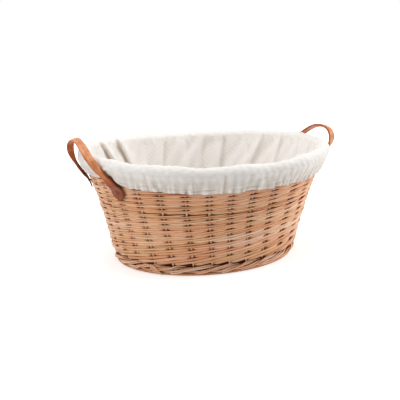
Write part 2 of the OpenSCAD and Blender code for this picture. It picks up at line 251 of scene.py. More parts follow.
class Nodes:
    """Short ways to add nodes to a node tree. Each gives back the new node's output."""

    def __init__(self, tree):
        self.new, self.link = tree.nodes.new, tree.links.new

    def attribute(self, name):
        n = self.new("ShaderNodeAttribute")
        n.attribute_name = name
        return n.outputs["Fac"]

    def place(self):
        """The point's place in metres."""
        return self.new("ShaderNodeTexCoord").outputs["Object"]

    def uv(self):
        n = self.new("ShaderNodeUVMap")
        n.uv_map = "UVMap"
        return n.outputs["UV"]

    def stretch(self, source, x, y):
        """Texture coordinates with their first two axes scaled."""
        n = self.new("ShaderNodeMapping")
        n.inputs["Scale"].default_value = (x, y, 1)
        self.link(source, n.inputs["Vector"])
        return n.outputs["Vector"]

    def noise(self, source, detail, scale=1.0, rough=0.5):
        n = self.new("ShaderNodeTexNoise")
        n.inputs["Scale"].default_value = scale
        n.inputs["Detail"].default_value = detail
        n.inputs["Roughness"].default_value = rough
        self.link(source, n.inputs["Vector"])
        return n.outputs["Fac"]

    def calc(self, operation, *values):
        """A math node on numbers and other nodes' outputs."""
        n = self.new("ShaderNodeMath")
        n.operation = operation
        for socket, value in zip(n.inputs, values):
            if hasattr(value, "links"):
                self.link(value, socket)
            else:
                socket.default_value = value
        return n.outputs[0]

    def about_zero(self, fac, size):
        """A noise from 0 to 1, scaled and moved to lie about 0."""
        return self.calc("MULTIPLY_ADD", fac, size, -size / 2)

    def total(self, first, *others):
        """The sum of some outputs."""
        for other in others:
            first = self.calc("ADD", first, other)
        return first

    def ramp(self, fac, stops):
        """Colours by fac; stops are (place, (red, green, blue))."""
        n = self.new("ShaderNodeValToRGB")
        elements = n.color_ramp.elements
        while len(elements) < len(stops):
            elements.new(0.5)
        for element, (place, colour) in zip(elements, stops):
            element.position = place
            element.color = (*colour, 1)
        self.link(fac, n.inputs["Fac"])
        return n.outputs["Color"]

    def tinted(self, colour, by):
        n = self.new("ShaderNodeMix")
        n.data_type = "RGBA"
        n.blend_type = "MULTIPLY"
        n.inputs["Factor"].default_value = 1.0
        self.link(colour, n.inputs["A"])
        self.link(by, n.inputs["B"])
        return n.outputs["Result"]

    def bump(self, height, distance, strength, over=None):
        """A surface with relief, which may lie over another's."""
        n = self.new("ShaderNodeBump")
        n.inputs["Distance"].default_value = distance
        n.inputs["Strength"].default_value = strength
        self.link(height, n.inputs["Height"])
        if over is not None:
            self.link(over, n.inputs["Normal"])
        return n.outputs["Normal"]


def shader(name, **settings):
    """A new material with the Nodes of its tree and its shader's inputs. A setting's name is that
    of the input, with _ for each space."""
    m = bpy.data.materials.new(name)
    m.use_nodes = True
    inputs = m.node_tree.nodes["Principled BSDF"].inputs
    for key, value in settings.items():
        inputs[key.replace("_", " ")].default_value = value
    return m, Nodes(m.node_tree), inputs


# Casts that a rod can have, from rosy to greenish
ROD_CASTS = [(0.0, (1.0, 0.90, 0.90)), (0.4, (1.0, 0.96, 0.94)), (0.8, (0.99, 1.0, 0.95)),
             (1.0, (0.95, 0.98, 0.88))]


def willow(name, stops, groove_shade):
    """Peeled willow: each rod has its own tone and cast, with long fibres and patches. The sides of a
    rod that touch its neighbours get painted shade; the last argument says how much lighter its face is than
    those sides."""
    m, n, bsdf = shader(name, Specular_IOR_Level=0.28)
    uv = n.uv()
    patch = n.noise(n.stretch(uv, 22, 2.0), detail=3.0)
    fibre = n.noise(n.stretch(uv, 60, 16), detail=3.0, rough=0.6)
    fine = n.noise(n.stretch(uv, 500, 30), detail=2.0, rough=0.6)
    place = n.new("ShaderNodeSeparateXYZ")
    n.link(uv, place.inputs[0])
    # face is 1 on the front and back of a rod and 0 on its sides, for the painted shade where rods touch
    face = n.calc("ABSOLUTE", n.calc("COSINE", n.calc("MULTIPLY", place.outputs["Y"], TURN)))
    f = n.total(n.about_zero(patch, 0.60), n.attribute("tint"), n.about_zero(fibre, 0.50),
                n.calc("MULTIPLY_ADD", face, groove_shade, -0.7 * groove_shade))
    n.link(n.tinted(n.ramp(f, stops), n.ramp(n.attribute("hue"), ROD_CASTS)), bsdf["Base Color"])
    n.link(n.calc("MULTIPLY_ADD", fibre, 0.35, 0.30), bsdf["Roughness"])
    fibres = n.bump(fibre, distance=0.0006, strength=0.8)
    n.link(n.bump(fine, distance=0.0003, strength=0.5, over=fibres), bsdf["Normal"])
    return m


wall_willow = willow("willow", [
    (0.0, (0.237, 0.048, 0.014)), (0.25, (0.547, 0.190, 0.070)), (0.52, (0.784, 0.402, 0.205)),
    (0.76, (0.848, 0.530, 0.337)), (1.0, (0.884, 0.671, 0.507))], 0.64)
foot_willow = willow("dark_willow", [
    (0.0, (0.100, 0.017, 0.004)), (0.30, (0.505, 0.160, 0.050)), (0.58, (0.883, 0.484, 0.266)),
    (1.0, (0.931, 0.741, 0.560))], 0.50)

# ---- Weave -------------------------------------------

# Three rods travel round together, so each one's way repeats every three stake spaces
RODS = 3
STAKE_R = 0.0030
# Points of a rod for each stake space
PER_STAKE = 20
# A rod's way through three stake spaces: its height in the course (0 to 1), and its place
# through the wall, from -1 behind a stake to 1 in front of one
ROD_Z = ([0, 0.05, 0.10, 0.18, 1, 2, 2.82, 2.90, 2.95, 3],
         [0.5, 0.25, 0.050, 0.060, 0.333, 0.667, 0.940, 0.950, 0.75, 0.5])
ROD_OFF = ([0, 0.04, 0.08, 0.13, 0.22, 0.50, 1, 1.25, 1.5, 1.75, 2, 2.50, 2.78, 2.87, 2.92, 2.96, 3],
           [-1, -0.85, -0.40, 0.25, 0.60, 0.80, 1, 0.92, 0.86, 0.92, 1, 0.80, 0.60, 0.25, -0.40, -0.85, -1])
# Share of a course's height that one rod takes, and the limits of its half thickness
ROD_SHARE = 0.38
ROD_THIN, ROD_THICK = 0.0019, 0.0025
# Clearance between a rod and the stakes it passes
ROD_GAP = 0.0003
# How much a rod's thickness varies, and within which limits
ROD_VARIES, ROD_LIMITS = 0.07, (0.86, 1.14)
# How far a rod strays up and down, and in and out, and how far a whole course drifts
STRAY_Z, STRAY_OFF, DRIFT = 0.00032, 0.00035, 0.0006
# A rod narrows over each stake, is pressed wide behind one, and is a little wider where it lies
# deep in the wall, so that little light comes between the rods
SQUEEZE, SQUEEZE_WIDTH = 0.17, 0.17
PRESSED, PRESSED_FROM, PRESSED_OVER = 1.5, 0.30, 0.9
DEEP, DEEP_AT, DEEP_WIDTH = 0.20, 0.36, 0.20
# Each visible stretch of rod has its own tone, and gets painted shade where it goes in behind a stake
TONE_VARIES = 0.11
IN_SHADE, IN_SHADE_FROM, IN_SHADE_OVER = 0.7, 0.35, 0.8


def course(parts, z0, h, seed, tone):
    """One course of three-rod wale, h high. Its rods run on into each other, as one rod that closes
    after three turns. It comes out low from behind a stake, climbs across the next two, and goes in
    high behind the third."""
    r = np.random.default_rng(seed)
    drift = waves(seed + 50, 4, 1, 7)
    u = np.arange(0, RODS * STAKES, 1 / PER_STAKE)
    phase = u % RODS
    stretch = (u // RODS).astype(int)
    spots = np.arange(RODS * STAKES + 2)

    def uneven():
        return np.interp(u, spots, r.normal(0, 1, len(spots)))

    def size():
        return np.clip(1 + ROD_VARIES * uneven(), *ROD_LIMITS)

    half = h * ROD_SHARE / 2
    rb = half * size()
    rn = np.clip(half, ROD_THIN, ROD_THICK) * size()
    through = np.interp(phase, *ROD_OFF)
    off = blur(through, 3) * (STAKE_R + ROD_GAP + rn)
    z = blur(np.interp(phase, *ROD_Z), 3)
    rb = rb * (1 - SQUEEZE * bell(phase - np.round(phase), SQUEEZE_WIDTH))
    rb = rb * (1 + PRESSED * smooth((PRESSED_FROM - through) / PRESSED_OVER))
    rb = rb * (1 + DEEP * bell(np.minimum(phase, RODS - phase) - DEEP_AT, DEEP_WIDTH))
    a = stake_angle(u)
    z = z0 + h * z + STRAY_Z * uneven() + DRIFT * drift(a)
    c, n = wall(a, z, off + STRAY_OFF * uneven())
    tone = r.normal(tone, TONE_VARIES, STAKES + 1)[stretch]
    # painted shade on the rod where it lies behind a stake, in the holes beside it
    tone = tone - IN_SHADE * smooth((IN_SHADE_FROM - through) / IN_SHADE_OVER)
    hue = r.uniform(0, 1, STAKES + 1)[stretch]
    parts.tube(c, n, rn, rb, blur(tone, 3), r.uniform(0, GRAIN), blur(hue, 5))


WALE_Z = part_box("bottom_wale")[0][2]
LOWER_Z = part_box("lower_weave")[0][2]
UPPER_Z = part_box("upper_weave")[0][2]
# The first course starts a little lower than the solids'
WALE_DROP = 0.0022
# Courses of the lower weave get lower towards the top
LOWER_COURSES, LOWER_FIRST, LOWER_LAST = 7, 0.0180, 0.0105
UPPER_COURSES = 8
# A thin gap shows where the weave changes, and the course above it is darker
CHANGE_GAP, CHANGE_DARK = 0.0022, 0.12
# Seed and tone of the wale, the lower and the upper weave
WALE, LOWER, UPPER = (90, 0.46), (100, 0.52), (200, 0.50)
heights = np.linspace(LOWER_FIRST, LOWER_LAST, LOWER_COURSES)
lower_z = LOWER_Z + np.concatenate([[0], np.cumsum(heights)])
upper_z = np.linspace(UPPER_Z + CHANGE_GAP, WEAVE_TOP, UPPER_COURSES + 1)

side = Parts()
course(side, WALE_Z - WALE_DROP, LOWER_Z - WALE_Z + WALE_DROP, *WALE)
for i in range(LOWER_COURSES):
    course(side, lower_z[i], lower_z[i + 1] - lower_z[i], LOWER[0] + i, LOWER[1] + 0.02 * (i % 3))
for i in range(UPPER_COURSES):
    course(side, upper_z[i], upper_z[i + 1] - upper_z[i], UPPER[0] + i,
           UPPER[1] + 0.03 * (i % 2) - CHANGE_DARK * (i == 0))
woven_wall = side.object("woven_wall", wall_willow)
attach(woven_wall, "basket")
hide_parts("bottom_wale", "lower_weave", "upper_weave")

# Stakes, tapering to the rim
posts = Parts()
r = np.random.default_rng(7)
z = np.linspace(FOOT_TOP - 0.003, WEAVE_TOP + 0.004, 22)
rad = rod_radii(len(z), STAKE_R, STAKE_R - 0.0003, tip=0.0004)
for k in range(STAKES):
    c, n = wall(stake_angle(np.full(len(z), float(k))), z)
    posts.tube(c, n, rad, rad * 1.02, r.normal(*TONES["stakes"]), r.uniform(0, GRAIN), r.uniform(),
               closed=False)
stakes = posts.object("side_rods", wall_willow)
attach(stakes, "basket")
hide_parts("side_stakes")

# ---- Foot and rim ------------------------------------

# The foot's border: three bundles of three rods laid round each other over the hoop
FOOT_MID, FOOT_IN, FOOT_TURNS = 0.0138, -0.0030, 7
# From the border's middle to a bundle's, from a bundle's to a rod's, and a rod's radius
LAY_R, BUNDLE_R, FOOT_ROD_R = 0.0064, 0.0025, 0.0022
# How much a bundle's turn and its distance vary, then a rod's turn in it, its distance and its radius
BUNDLE_TURNS, LAY_VARIES, ROD_TURNS, GAP_VARIES, FOOT_ROD_VARIES = 0.14, 0.0006, 0.4, 0.14, 0.10
# Stake spaces between one change of a rod's tone and the next
FOOT_STRETCH = 3.5

foot = Parts()
r = np.random.default_rng(11)
u = np.arange(0, STAKES, 1 / 12)
a = stake_angle(u)
uneven_foot = [waves(300 + i, 6, 3, 30) for i in range(16)]
for p in range(9):
    ph = TURN * (FOOT_TURNS * u / STAKES + (p // 3) / 3) + BUNDLE_TURNS * uneven_foot[p // 3](a)
    lay = LAY_R + LAY_VARIES * uneven_foot[9 + p // 3](a)
    own = ph + (TURN * (p % 3) / 3 + ROD_TURNS * uneven_foot[3 + p](a))
    gap = BUNDLE_R * (1 + GAP_VARIES * uneven_foot[6 + p](a))
    c, n = wall(a, FOOT_MID, FOOT_IN + (lay * np.cos(ph) + gap * np.cos(own)))
    c[:, 2] += lay * np.sin(ph) + gap * np.sin(own)
    rad = FOOT_ROD_R * (1 + FOOT_ROD_VARIES * uneven_foot[15 - p](a + 1.0))
    tone = blur(r.normal(*TONES["foot"], STAKES)[(u / FOOT_STRETCH).astype(int)], 9)
    foot.tube(c, n, rad, rad, tone, r.uniform(0, GRAIN), r.uniform())

# The hoop's two rods, which the basket stands on, and the filling behind the border, whose low tones
# are painted shade in the gaps of the border: height, place out from the wall's middle, radius and tone
HOOP_RODS = [(0.0036, -0.0010, 0.0036, 0.30), (0.0036, -0.0080, 0.0036, 0.1),
             (0.0110, -0.0100, 0.0038, -0.2), (0.0180, -0.0095, 0.0038, -0.2),
             (0.0245, -0.0072, 0.0036, -0.2), (0.0310, -0.0070, 0.0034, 0.0)]
u = np.arange(0, STAKES, 0.25)
for z, off, rad, tone in HOOP_RODS:
    c, n = wall(stake_angle(u), z, off)
    foot.tube(c, n, rad, rad, tone, r.uniform(0, GRAIN))

# The ends of the border's last three rods, which slant down and are tucked away: the stake number
# they start at, how many spaces they take, where they start, how far they go down, their place out
# from the wall's middle, how far they bow out, and their radius
TUCK_AT, TUCK_LENGTH, TUCK_Z, TUCK_DROP = 16.55, 0.55, 0.0235, 0.0190
TUCK_OFF, TUCK_BOW, TUCK_R = 0.0040, 0.0016, 0.0024
for du, dz in [(0.0, 0.0), (0.16, 0.0), (0.30, -0.002)]:
    s = np.linspace(0, 1, 14)
    c, n = wall(stake_angle(TUCK_AT + du + TUCK_LENGTH * s), TUCK_Z + dz - TUCK_DROP * smooth(s),
                TUCK_OFF + TUCK_BOW * np.sin(np.pi * s))
    rad = rod_radii(len(s), TUCK_R)
    foot.tube(c, n, rad, rad, r.normal(*TONES["tucked"]), r.uniform(0, GRAIN), r.uniform(), closed=False)
foot_border = foot.object("foot_border", foot_willow)
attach(foot_border, "basket")
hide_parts("foot_hoop", "foot_twist")

# Rim border: four rods laid round each other
RIM_RODS, RIM_TURNS, RIM_LAY_R, RIM_ROD_R = 4, 7, 0.0057, 0.0040
top = Parts()
r = np.random.default_rng(12)
u = np.arange(0, STAKES, 0.125)
for p in range(RIM_RODS):
    ph = TURN * (RIM_TURNS * u / STAKES + p / RIM_RODS)
    c, n = wall(stake_angle(u), RIM_Z)
    c = c + RIM_LAY_R * (np.cos(ph)[:, None] * n + np.sin(ph)[:, None] * UP)
    top.tube(c, n, RIM_ROD_R, RIM_ROD_R, r.normal(*TONES["rim"]), r.uniform(0, GRAIN))
rim_rods = top.object("rim_rods", wall_willow)
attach(rim_rods, "basket")
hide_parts("rim_border")

# ---- Base --------------------------------------------

CROSS_STICKS, LONG_STICKS, STICK_R = 11, 5, 0.0026
# The base's edge is this far inside the wall's middle, and the sticks end this far inside it
BASE_INSET, STICK_INSET = 0.0083, 0.003

sticks = Parts()
r = np.random.default_rng(13)
cross_box, long_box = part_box("base_cross_sticks"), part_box("base_long_sticks")
la, lb = [float(x) for x in axes(cross_box[0][2])]
cross_x = np.linspace(-la, la, CROSS_STICKS + 2)[1:-1]
long_y = np.linspace(-lb, lb, LONG_STICKS + 2)[1:-1]
in_a, in_b = la - BASE_INSET, lb - BASE_INSET
for spots, box, lengthways in [(cross_x, cross_box, False), (long_y, long_box, True)]:
    z = (box[0][2] + box[1][2]) / 2
    along, across = (in_a, in_b) if lengthways else (in_b, in_a)
    for s in spots:
        reach = along * math.sqrt(1 - (s / across) ** 2) - STICK_INSET
        t = np.linspace(-reach, reach, 26)
        sway = s + 0.0004 * np.sin(t * 40 + r.uniform(0, 6))
        c = turned(np.stack([t, sway, z + 0 * t] if lengthways else [sway, t, z + 0 * t], -1), z)
        rad = rod_radii(len(t), STICK_R)
        sticks.tube(c, UP, rad, rad, r.normal(*TONES["sticks"]), r.uniform(0, GRAIN), closed=False)
base_sticks = sticks.object("base_sticks", foot_willow)
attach(base_sticks, "basket")
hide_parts("base_cross_sticks", "base_long_sticks")

# Rings of flat rod go over and under the sticks. The first one's inset, the step to the next, and
# the least half width that a ring can have
RING_FIRST, RING_STEP, RING_LEAST = 0.0040, 0.0074, 0.006
# Half the height and width of its rod
RING_HALF_H, RING_HALF_W = 0.0016, 0.0039
# Crossings closer together than this count as one
CROWDED = 0.012
# How far a ring goes up and down, and how square its waves are
RING_WAVE, RING_SQUARE = 0.0068, 1.6


def crossings(ra, rb):
    """Angles at which a ring crosses a stick, in order and even in number."""
    cuts = []
    for x in cross_x[abs(cross_x) < ra]:
        t = math.acos(x / ra)
        cuts += [t, TURN - t]
    for y in long_y[abs(long_y) < rb]:
        t = math.asin(y / rb)
        cuts += [t % TURN, np.pi - t]
    cuts.sort()
    keep = cuts[:1]
    for t in cuts[1:]:
        if t - keep[-1] > CROWDED / max(ra, rb):
            keep.append(t)
    return keep[:len(keep) // 2 * 2]


base = Parts()
mid_z = (cross_box[0][2] + long_box[1][2]) / 2
for ring in range(int((in_b - RING_LEAST - RING_FIRST) / RING_STEP) + 1):
    inset = RING_FIRST + RING_STEP * ring
    ra, rb = in_a - inset, in_b - inset
    cuts = crossings(ra, rb)
    a = np.linspace(0, TURN, max(48, int(260 * ra / la)), endpoint=False)
    passed = np.interp(a, [cuts[-1] - TURN, *cuts, cuts[0] + TURN], np.arange(-1, len(cuts) + 1))
    over = np.tanh(RING_SQUARE * np.cos(np.pi * (passed + ring)))
    z = mid_z + RING_WAVE * over / math.tanh(RING_SQUARE)
    c = turned(np.stack([ra * np.cos(a), rb * np.sin(a), z], -1), z)
    base.tube(c, UP, RING_HALF_H, RING_HALF_W, r.normal(*TONES["base"]), r.uniform(0, GRAIN))
base_rods = base.object("base_rods", wall_willow)
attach(base_rods, "basket")
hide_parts("base_weave")

# ---- Liner -------------------------------------------

COLS = 720
ang = np.linspace(0, TURN, COLS, endpoint=False)
deg = np.degrees(ang)
# How far inside the wall's middle the bag hangs, and the radius of its roll over the rim
BAG_OFF, ROLL_R = 0.0112, 0.0141
# The straps' feet: which end of the basket, and how far along y
LEGS = {"left": [(-1, -0.107), (-1, 0.016)], "right": [(1, -0.016), (1, 0.107)]}


def around(c, at=deg):
    """How far round the basket at lies from c, from -180 to 180 degrees."""
    return (at - c + 180) % 360 - 180


def leg_angle(sx, y, z):
    """The angle of the wall's point at this y and height, at the end sx of the basket."""
    t = math.asin(y / float(axes(z)[1]))
    return t if sx > 0 else math.pi - t


# Where the straps cross the skirt, in degrees
STRAPS_AT = [math.degrees(leg_angle(sx, y, 0.215)) for pair in LEGS.values() for sx, y in pair]

# Folds inside stand between the stakes; each has its own depth, and leans as it goes down
FOLD_DEPTH, FOLD_TURN = 0.0088, math.radians(137.5)
# The height from which they lean and widen, and the fall that counts as one step of it
FOLD_TOP, FOLD_FALL = 0.250, 0.036
# Shares of a fold's width that its soft and its sharp side take
FOLD_SOFT, FOLD_SHARP = 0.9, 0.26
# A line of painted shade, its crease, lies on the sharp side: place and width, as shares of the fold's
CREASE_AT, CREASE_WIDTH = 0.15, 0.12
# Two big ones stand at the far left and fall the other way: the angles they lie between, in
# degrees, and their depth, width in degrees and sharp side
BIG_FROM, BIG_MIDDLE, BIG_TO = 120, 130, 142
BIG_DEPTH, BIG_WIDTH, BIG_SHARP = 0.0125, 7.0, 0.13


def make_folds():
    """Place and lean in degrees, width in degrees, depth and sharp side of each fold."""
    r = np.random.default_rng(30)
    folds = []
    for i in range(STAKES):
        c = math.degrees(float(even_angle(i + 0.5))) % 360
        depth = FOLD_DEPTH * (0.6 + 0.4 * math.cos(FOLD_TURN * (i + 1)))
        width, lean = r.uniform(4.0, 6.5), r.uniform(-4, 4)
        if BIG_FROM < c < BIG_TO:
            far_one = c > BIG_MIDDLE
            folds.append((c + 5.7 + 2.8 * far_one, -2.2 - 1.1 * far_one, BIG_WIDTH, BIG_DEPTH, BIG_SHARP))
        else:
            # those along the back are lower
            folds.append((c, lean, width, depth * 0.8 if 0 < c < 180 else depth, FOLD_SHARP))
    return folds


FOLDS = make_folds()


def inside_folds(z):
    """How far the folds bring the cloth in at each angle, at height z, and how much painted shade
    its creases get there."""
    d, crease = np.zeros(COLS), np.zeros(COLS)
    down = (FOLD_TOP - z) / FOLD_FALL
    for c, lean, width, depth, sharp in FOLDS:
        x = around(c + lean * np.clip(down, 0, 2.2)) / (width * (0.75 + 0.35 * np.clip(down, 0, 2)))
        if depth > FOLD_DEPTH:
            x = -x
        d += depth * np.where(x > 0, bell(x, FOLD_SOFT), bell(x, sharp))
        crease += (depth / BIG_DEPTH) ** 2 * bell(x + CREASE_AT, CREASE_WIDTH)
    return d, crease


# Unevenness of the bag, the roll and the hem, from broad to fine
big, mid, small = waves(31, 5, 3, 11), waves(32, 7, 14, 40), waves(33, 9, 45, 130)
roll_a, roll_b = waves(34, 6, 9, 26), waves(35, 9, 40, 110)
hem_a, hem_b = waves(36, 5, 3, 12), waves(37, 8, 20, 60)


def swell(wave, size, shift=0.0):
    """How far an unevenness stands out at each angle, from 0 to twice its size."""
    return size * (1 + wave(ang + shift))


# The hem's gathers are denser about two places in front: degrees, and how much denser
DENSE = [(236, 1.1), (286, 1.6)]
DENSE_WIDTH = 11


def make_gathers():
    """How far the gathers stand out at each angle, as a share of GATHER."""
    r = np.random.default_rng(38)
    gather = np.zeros(COLS)
    at = 0.0
    while at < 360:
        w = r.uniform(0.45, 1.1)
        dense = 1.0
        for middle, more in DENSE:
            dense += more * bell(at - middle, DENSE_WIDTH)
        gather += r.uniform(0.3, 1.0) * (0.55 + 0.45 * dense) * bell(around(at), w)
        at += r.uniform(1.0, 4.2) / dense
    return gather


gather = make_gathers()
# Share of the skirt's length that the gathers reach up at each angle
reach_up = 0.45 + 0.35 * (0.5 + 0.5 * waves(39, 9, 20, 90)(ang))
hem_z = 0.2052 + 0.0022 * hem_a(ang) + 0.0010 * hem_b(ang)

# The straps press the cloth in. They hitch its hem up high beside them, and a little between them.
# The widths are in degrees, outside a handle's feet and between them
PRESS, PRESS_WIDTH = 0.0050, (6.0, 4.0)
HITCH, HITCH_WIDTH, HITCH_BETWEEN = 0.022, (4.6, 5.0), 0.0145
pinch = np.zeros(COLS)
for c, outer in zip(STRAPS_AT, (1, -1, -1, 1)):
    x = around(c) * outer
    pinch += bell(x, np.where(x > 0, *PRESS_WIDTH))
    hem_z = hem_z + HITCH * bell(x, np.where(x > 0, *HITCH_WIDTH))
for c1, c2 in (STRAPS_AT[:2], STRAPS_AT[2:]):
    half = abs(around(c2, c1)) / 2
    hem_z = hem_z + HITCH_BETWEEN * smooth((half + 4.0 - np.abs(around((c1 + c2) / 2))) / 8.0)

# How far the cloth stands out from its surroundings where it is painted lightest, how far in a deep
# crease counts as for its painted shade, and how many columns the surroundings take
RELIEF, CREASE_SHADE, SURROUND = 0.008, 0.0040, 17
rows, vs, relief = [], [], []


def push(points, v, height=0.0, darker=0.0):
    """Adds one row of cloth, v metres along it. height is how far it stands out at each angle: its
    hollows get painted shade and its ridges a touch of painted light. darker paints shade over the whole
    row."""
    height = np.broadcast_to(height, COLS)
    rows.append(points)
    vs.append(v)
    relief.append(0.5 + (height - blur(height, SURROUND)) / RELIEF - darker)


# The floor, from its middle out, and the bend up to the wall
CORNER_R = 0.012
a_bag, b_bag = [float(x) - BAG_OFF for x in axes(FLOOR_Z)]
for t in np.linspace(0.0005, 1, 24):
    z = FLOOR_Z - 0.0006 + swell(mid, 0.0008) * t + swell(big, 0.0010, t) * t * (1 - t)
    x, y = t * (a_bag - CORNER_R) * np.cos(ang), t * (b_bag - CORNER_R) * np.sin(ang)
    push(turned(np.stack([x, y, z], -1), FLOOR_Z), t * b_bag)
v = b_bag
for t in np.linspace(0.2, 1, 5) * np.pi / 2:
    off = BAG_OFF + CORNER_R * (1 - math.sin(t))
    push(wall(ang, FLOOR_Z + CORNER_R * (1 - math.cos(t)), -off)[0], v + CORNER_R * t)
v += CORNER_R * np.pi / 2

# Up the inside. The last row stands this high; cloth runs this much longer than its height
INSIDE_TOP, INSIDE_SLOPE = 0.236, 1.07
# The folds grow over this height at the bottom, and run out below the rim
GROW_OVER, RUN_OUT_AT, RUN_OUT_OVER = 0.05, 0.262, 0.02
z_first = FLOOR_Z + CORNER_R
for z in np.linspace(z_first + 0.004, INSIDE_TOP, 44):
    lift = smooth((z - z_first) / GROW_OVER) * smooth((RUN_OUT_AT - z) / RUN_OUT_OVER)
    folded, crease = inside_folds(z)
    d = (folded + swell(big, 0.0022) + swell(mid, 0.0012, 3 * z) + swell(small, 0.0004, 9 * z)) * lift
    # the inside creases get painted shade
    push(wall(ang, z, -(BAG_OFF + d))[0], v + (z - z_first) * INSIDE_SLOPE, d - CREASE_SHADE * crease * lift)
v += (INSIDE_TOP - z_first) * INSIDE_SLOPE

# Over the rim: degrees up from straight outwards. The inside folds run out over the top, and the
# straps press in the outside
ROLL_FROM, CREST, ROLL_TO = 174, 95, 4
rim_line, rim_out = wall(ang, RIM_Z)
folded, crease = inside_folds(FOLD_TOP)
for p_deg in np.linspace(ROLL_FROM, ROLL_TO, 20):
    p = math.radians(p_deg)
    inward = smooth((p_deg - CREST) / 85)
    d = folded * inward * 0.9 + swell(roll_a, 0.0011) + swell(roll_b, 0.0006, 0.02 * p_deg)
    d = d - PRESS * pinch * smooth((CREST - p_deg) / 60)
    # the inside creases' painted shade runs out over the top of the roll
    push(rim_line + (ROLL_R + d)[:, None] * (math.cos(p) * rim_out + math.sin(p) * UP),
         v + ROLL_R * math.radians(ROLL_FROM - p_deg), -CREASE_SHADE * crease * smooth((p_deg - 110) / 60))
v += ROLL_R * math.radians(ROLL_FROM - ROLL_TO)

# Down the outside to the hem: the skirt's length, the hem's place out from the wall's middle, and
# how far the gathers stand out. The rows lie closer together at the hem
SKIRT, HEM_OFF, GATHER = 0.040, 0.0112, 0.0044
# The elastic's channel ends in a seam: height above the hem, depth and width
CHANNEL_UP, CHANNEL_DEEP, CHANNEL_WIDTH = 0.0095, 0.0009, 0.0009
# Another seam runs down the front: place and width in degrees, and depth
SEAM_AT, SEAM_WIDTH, SEAM_DEEP = 263.8, 0.4, 0.0010
seam = bell(around(SEAM_AT), SEAM_WIDTH)
for t in np.concatenate([np.linspace(0.03, 0.68, 20), np.linspace(0.71, 1.0, 14)]):
    z = RIM_Z + (hem_z - RIM_Z) * t
    off = ROLL_R + (HEM_OFF - ROLL_R) * smooth(t) + 0.0020 * np.sin(np.pi * t)
    amount = smooth((t - (1 - reach_up)) / reach_up)
    above_channel = (1 - t) * SKIRT - CHANNEL_UP
    held = 1 - 0.45 * bell(above_channel, 0.0016)
    off = off + GATHER * gather * amount * held
    off = off + swell(roll_b, 0.0008) * (1 - t) + swell(mid, 0.0009, t) * t + swell(roll_a, 0.0011) * (1 - t)
    off = off - pinch * (PRESS - 0.0044 * smooth(t / 0.6))
    off = off - SEAM_DEEP * seam - CHANNEL_DEEP * bell(above_channel, CHANNEL_WIDTH)
    # the seam gets painted shade deeper than its groove, and the skirt painted shade below its top
    push(wall(ang, z, off)[0], v + SKIRT * t, off - 0.0015 * seam, 0.14 * smooth((t - 0.15) / 0.3))
v += SKIRT

# The hem turns under and a little way up
HEM_R = 0.0008
p, n = wall(ang, hem_z, off)
for q in np.radians((-60, -90, -135, 180)):
    push(p - n * HEM_R + HEM_R * (math.cos(q) * n + math.sin(q) * UP), v + 0.001)
for dz in (0.003, 0.007):
    push(p - n * 0.0014 + UP * dz, v + 0.002 + dz)

cloth = Parts()
# metres of cloth in one unit of the angle
GIRTH_SCALE = 0.24
cloth.add(np.array(rows), False, (np.array(vs), ang * GIRTH_SCALE), tint=np.clip(np.array(relief), 0, 1))


def cotton(name):
    """Unbleached cotton with slubs, broad crumples and a fine weave, with painted shade in its hollows and
    creases and a touch of painted light on its ridges.
    """
    m, n, bsdf = shader(name, Roughness=0.92, Specular_IOR_Level=0.15, Sheen_Weight=0.15)
    uv, place = n.uv(), n.place()
    slubs = n.total(*[n.noise(n.stretch(uv, *size), detail=2.0) for size in ((500, 40), (40, 500))])
    patch = n.noise(place, scale=18.0, detail=4.0)
    crumple = n.noise(place, scale=42.0, detail=5.0, rough=0.62)
    f = n.calc("MULTIPLY_ADD", slubs, 0.35, n.calc("MULTIPLY_ADD", patch, 0.5, -0.10))
    plain = n.ramp(f, [(0.0, (0.80, 0.755, 0.71)), (0.5, (0.86, 0.825, 0.785)), (1.0, (0.91, 0.885, 0.855))])
    # painted shade in the cloth's hollows, creases and lower skirt, and a touch of painted light on its
    # ridges
    relief_shade = n.ramp(n.attribute("tint"), [(0.0, (0.62, 0.53, 0.43)), (0.35, (0.88, 0.85, 0.81)),
                                          (0.5, (1.0, 1.0, 1.0)), (1.0, (1.03, 1.03, 1.03))])
    n.link(n.tinted(plain, relief_shade), bsdf["Base Color"])
    threads = n.new("ShaderNodeTexWave")
    threads.inputs["Scale"].default_value = 1.0
    n.link(n.stretch(uv, 220, 220), threads.inputs["Vector"])
    weave = n.total(slubs, threads.outputs["Fac"])
    crumples = n.bump(crumple, distance=0.0045, strength=0.35)
    n.link(n.bump(weave, distance=0.0004, strength=0.35, over=crumples), bsdf["Normal"])
    return m


cotton_cloth = cotton("cotton")
liner = cloth.object("liner_cloth", cotton_cloth)
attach(liner, "liner")
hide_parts("liner_bag", "liner_skirt", "hem_elastic")

# ---- Handles -----------------------------------------

